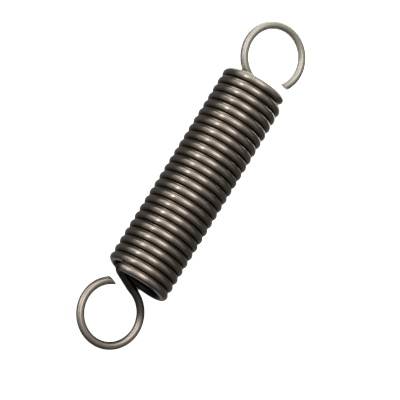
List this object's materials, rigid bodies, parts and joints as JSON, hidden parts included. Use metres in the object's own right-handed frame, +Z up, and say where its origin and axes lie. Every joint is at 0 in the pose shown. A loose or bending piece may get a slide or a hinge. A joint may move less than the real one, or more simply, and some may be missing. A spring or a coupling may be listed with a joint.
{
  "type": "extension spring",
  "caption": "Close-wound steel extension spring with a full round crossover loop at each end, both loops lying in one plane.",
  "frame": {"origin": "on the table under the middle of the spring's bounding box, as it lies on its side", "axes": "+X along the body towards the loop with the smaller opening in its ring, +Z up and square to the flat of both loops, +Y across"},
  "size_m": [0.0644, 0.0132, 0.012],
  "materials": {
    "wire": "bright drawn wire, slightly browned by oil, dark between the turns"
  },
  "bodies": {
    "root": {"spring": "wire"}
  },
  "joints": []
}
